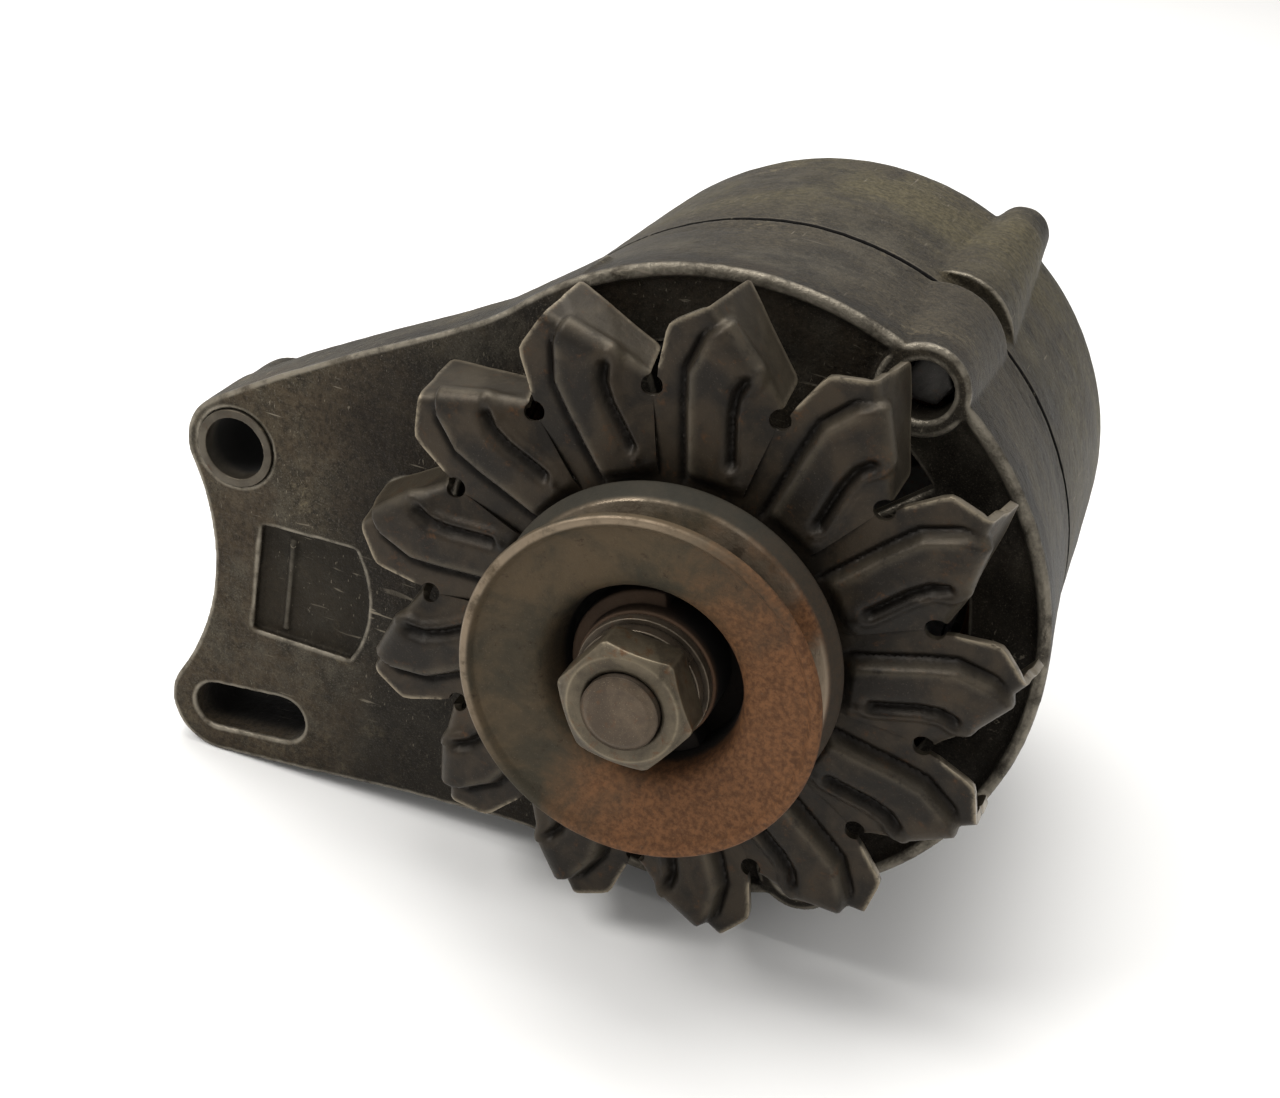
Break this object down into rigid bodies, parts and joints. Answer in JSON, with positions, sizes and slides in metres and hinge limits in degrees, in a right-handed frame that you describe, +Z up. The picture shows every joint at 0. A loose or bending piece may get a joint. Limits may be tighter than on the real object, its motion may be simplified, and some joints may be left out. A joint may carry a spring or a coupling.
{
  "type": "car alternator",
  "caption": "Car alternator with a V-belt pulley, folded-blade cooling fan, slotted mounting ear, claw-pole rotor, stator, brush gear and rectifier.",
  "frame": {"origin": "shaft axis at the middle plane of the pulley's V groove, the belt line", "axes": "+Y along the shaft from the pulley to the rear, +Z up, the mounting ear points to -X"},
  "size_m": [0.1767, 0.1873, 0.1358],
  "materials": {
    "cast_aluminium": "cast, oily and grimy",
    "fan_steel": "pressed steel, dark, worn to bright metal at its edges",
    "pulley_steel": "turned steel, rusty face, polished groove",
    "steel": "plated steel, dulled",
    "bearing_steel": "ground",
    "laminations": "stacked electrical sheet",
    "copper": "enamelled copper",
    "slip_copper": "polished by the brushes",
    "black_plastic": "moulded",
    "carbon": "pressed carbon",
    "sheet_aluminium": "rolled sheet",
    "brass": "plain"
  },
  "bodies": {
    "housing": {"drive_end_bracket": "cast_aluminium", "pivot_bush": "steel", "rear_housing": "cast_aluminium", "front_bearing_outer_ring": "bearing_steel", "rear_bearing_outer_ring": "bearing_steel", "bearing_retainer_plate": "steel", "retainer_screws": "steel", "stator_core": "laminations", "stator_windings": "copper", "stator_slot_bars": "copper", "through_bolts": "steel", "through_bolt_washers": "steel", "brush_holder": "black_plastic", "brush_holder_screws": "steel", "brush_spring_front": "steel", "brush_spring_rear": "steel", "heat_sink_positive": "sheet_aluminium", "heat_sink_negative": "sheet_aluminium", "diodes_positive": "steel", "diodes_negative": "steel", "rectifier_sleeves": "black_plastic", "rectifier_screws": "steel", "output_stud": "brass", "output_stud_sleeve": "black_plastic", "output_stud_insulator": "black_plastic", "output_stud_nut": "brass", "terminal_block": "black_plastic", "spade_terminals": "brass"},
    "rotor": {"shaft": "steel", "woodruff_key": "steel", "pulley": "pulley_steel", "plain_washer": "steel", "spring_washer": "steel", "shaft_nut": "steel", "fan_spacer": "steel", "fan": "fan_steel", "front_bearing_inner_ring": "bearing_steel", "rear_bearing_inner_ring": "bearing_steel", "rotor_core": "laminations", "coil_bobbin": "black_plastic", "field_coil": "copper", "rotor_claw_front": "laminations", "rotor_claw_rear": "laminations", "slip_ring_insulator": "black_plastic", "slip_ring_front": "slip_copper", "slip_ring_rear": "slip_copper"},
    "front_ball_set": {"front_bearing_balls": "bearing_steel", "front_bearing_cage": "steel"},
    "rear_ball_set": {"rear_bearing_balls": "bearing_steel", "rear_bearing_cage": "steel"},
    "front_brush": {"brush_front": "carbon"},
    "rear_brush": {"brush_rear": "carbon"}
  },
  "joints": [
    {"name": "rotor_spin", "type": "hinge", "parent": "housing", "child": "rotor", "pos_m": [0, 0.04, 0], "axis": [0, 1, 0], "continuous": true},
    {"name": "front_balls_roll", "type": "hinge", "parent": "housing", "child": "front_ball_set", "pos_m": [0, 0.0427, 0], "axis": [0, 1, 0], "continuous": true},
    {"name": "rear_balls_roll", "type": "hinge", "parent": "housing", "child": "rear_ball_set", "pos_m": [0, 0.1397, 0], "axis": [0, 1, 0], "continuous": true},
    {"name": "front_brush_slide", "type": "slide", "parent": "housing", "child": "front_brush", "axis": [0, 0, -1], "range_m": [0, 0.005], "stiffness_N_per_m": 200, "springref_m": -0.006, "deforming": ["brush_spring_front"]},
    {"name": "rear_brush_slide", "type": "slide", "parent": "housing", "child": "rear_brush", "axis": [0, 0, -1], "range_m": [0, 0.005], "stiffness_N_per_m": 200, "springref_m": -0.006, "deforming": ["brush_spring_rear"]}
  ],
  "couplings": [
    {"joint": "front_balls_roll", "follows": "rotor_spin", "ratio": 0.38246},
    {"joint": "rear_balls_roll", "follows": "rotor_spin", "ratio": 0.384}
  ]
}
